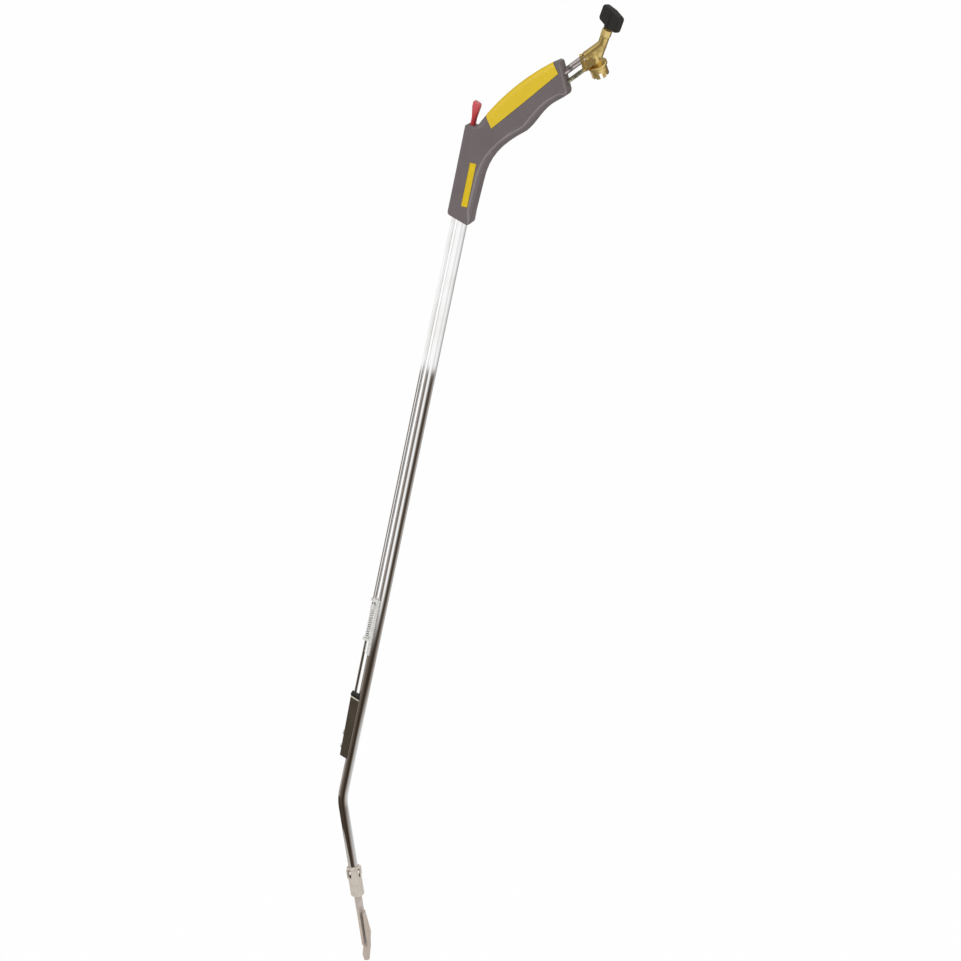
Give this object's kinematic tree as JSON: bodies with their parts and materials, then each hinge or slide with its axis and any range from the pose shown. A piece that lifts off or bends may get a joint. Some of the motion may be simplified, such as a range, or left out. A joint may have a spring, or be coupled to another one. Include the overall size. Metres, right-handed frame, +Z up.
{
  "type": "propane torch",
  "caption": "Hand-held gas torch: grey and yellow pistol handle on a long bent chrome lance, with a push-button igniter linkage, a brass cylinder valve and a shrouded burner.",
  "frame": {"origin": "the middle of the grip, on the parting plane of the handle, where a hand closes round it", "axes": "+Z up along the lance from the burner to the handle, +X from the lance towards the grip's end and the valve, +Y across the handle away from the viewer of the picture"},
  "size_m": [0.1236, 0.0391, 1.0063],
  "materials": {
    "grey_plastic": "fine satin moulding",
    "yellow_rubber": "satin",
    "red_plastic": "gloss",
    "chrome": "bright plated",
    "zinc_steel": "zinc plated",
    "burner_steel": "dull, heat stained",
    "brown_plastic": "satin",
    "black_plastic": "satin gloss",
    "cream_rubber": "matt",
    "cream_ceramic": "fired, half gloss",
    "brass": "turned and cast, lightly tarnished"
  },
  "bodies": {
    "torch": {"handle_shell_near": "grey_plastic", "handle_shell_far": "grey_plastic", "grip_inlay_near": "yellow_rubber", "grip_inlay_far": "yellow_rubber", "label_plate": "yellow_rubber", "lance_tube": "chrome", "neck_pipe": "chrome", "stay_rod": "chrome", "guide_bracket": "zinc_steel", "return_spring": "zinc_steel", "spark_electrode": "zinc_steel", "housing_screw_1": "zinc_steel", "housing_screw_2": "zinc_steel", "handle_screw_1": "zinc_steel", "handle_screw_2": "zinc_steel", "handle_screw_3": "zinc_steel", "gas_pipe": "zinc_steel", "flame_holder": "zinc_steel", "flame_shroud": "zinc_steel", "burner_collar": "burner_steel", "burner_tube": "burner_steel", "igniter_housing": "brown_plastic", "housing_lid": "black_plastic", "ignition_lead": "black_plastic", "piezo_unit": "black_plastic", "lid_gasket": "cream_rubber", "stem_seal": "cream_rubber", "inlet_seal": "cream_rubber", "electrode_insulator": "cream_ceramic", "valve_body": "brass", "gland_nut": "brass", "cylinder_collar": "brass", "neck_plate": "brass", "inlet_pin": "brass", "gas_jet": "brass", "gas_coupling": "brass"},
    "igniter": {"igniter_button": "red_plastic", "push_rod_upper": "chrome", "rod_collar": "zinc_steel", "push_rod_lower": "chrome", "piezo_plunger": "cream_ceramic"},
    "valve_stem": {"valve_stem": "brass"},
    "valve_knob": {"valve_knob": "black_plastic"}
  },
  "joints": [
    {"name": "igniter_push", "type": "slide", "parent": "torch", "child": "igniter", "axis": [0, 0, -1], "range_m": [0, 0.006], "stiffness_N_per_m": 800, "springref_m": -0.004, "deforming": ["return_spring"]},
    {"name": "stem_rise", "type": "slide", "parent": "torch", "child": "valve_stem", "axis": [0.1606, -0.2939, 0.9423], "range_m": [0, 0.0012]},
    {"name": "knob_turn", "type": "hinge", "parent": "valve_stem", "child": "valve_knob", "pos_m": [0.05492, 0, 0.06759], "axis": [0.1606, -0.2939, 0.9423], "range_deg": [0, 540]}
  ],
  "couplings": [
    {"joint": "stem_rise", "follows": "knob_turn", "m_per_rad": 0.00011937}
  ]
}
